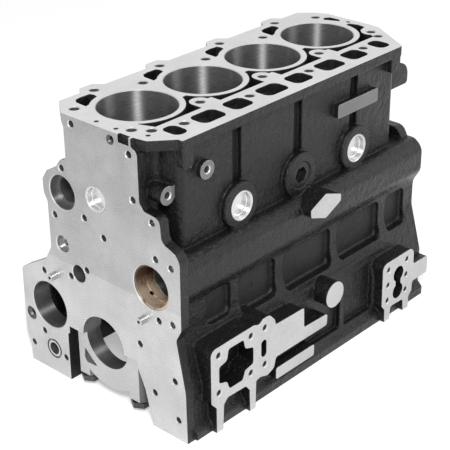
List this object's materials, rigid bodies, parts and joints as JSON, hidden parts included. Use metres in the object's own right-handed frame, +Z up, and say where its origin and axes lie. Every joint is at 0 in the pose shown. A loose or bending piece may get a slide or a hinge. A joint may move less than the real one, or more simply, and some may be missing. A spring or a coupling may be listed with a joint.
{
  "type": "engine cylinder block",
  "caption": "Bare cast-iron cylinder block of an in-line diesel engine, painted black with machined faces, with main bearing caps, cam bush and core plugs.",
  "frame": {"origin": "point where the crankshaft axis meets the plane of the machined front face", "axes": "+X along the crankshaft to the flywheel end, +Z up towards the head deck, -Y towards the camshaft side"},
  "size_m": [0.529, 0.304, 0.3777],
  "materials": {
    "casting": "satin black paint on cast skin, machined faces bare",
    "cap_iron": "machined faces on a cast body",
    "bolt_steel": "dark oxide",
    "bright_steel": "ground",
    "cup_plug": "bright pressed",
    "black_plug": "satin",
    "bush_bronze": "worn bronze lining"
  },
  "bodies": {
    "root": {"cylinder_block": "casting", "main_cap_1": "cap_iron", "main_cap_2": "cap_iron", "main_cap_3": "cap_iron", "main_cap_4": "cap_iron", "main_cap_5": "cap_iron", "main_cap_bolts": "bolt_steel", "main_cap_ring_dowels": "bright_steel", "cam_bush": "bush_bronze", "front_core_plug": "cup_plug", "rear_core_plug": "cup_plug", "side_core_plug_front": "cup_plug", "side_core_plug_rear": "cup_plug", "jacket_plug_1": "cup_plug", "jacket_plug_2": "cup_plug", "jacket_plug_3": "cup_plug", "jacket_plug_4": "cup_plug", "side_socket_plug": "black_plug", "gallery_plug_front": "bright_steel", "gallery_plug_rear": "bright_steel", "front_dowel_pins": "bright_steel", "rear_dowel_pins": "bright_steel", "cam_rear_plug": "cup_plug"}
  },
  "joints": []
}
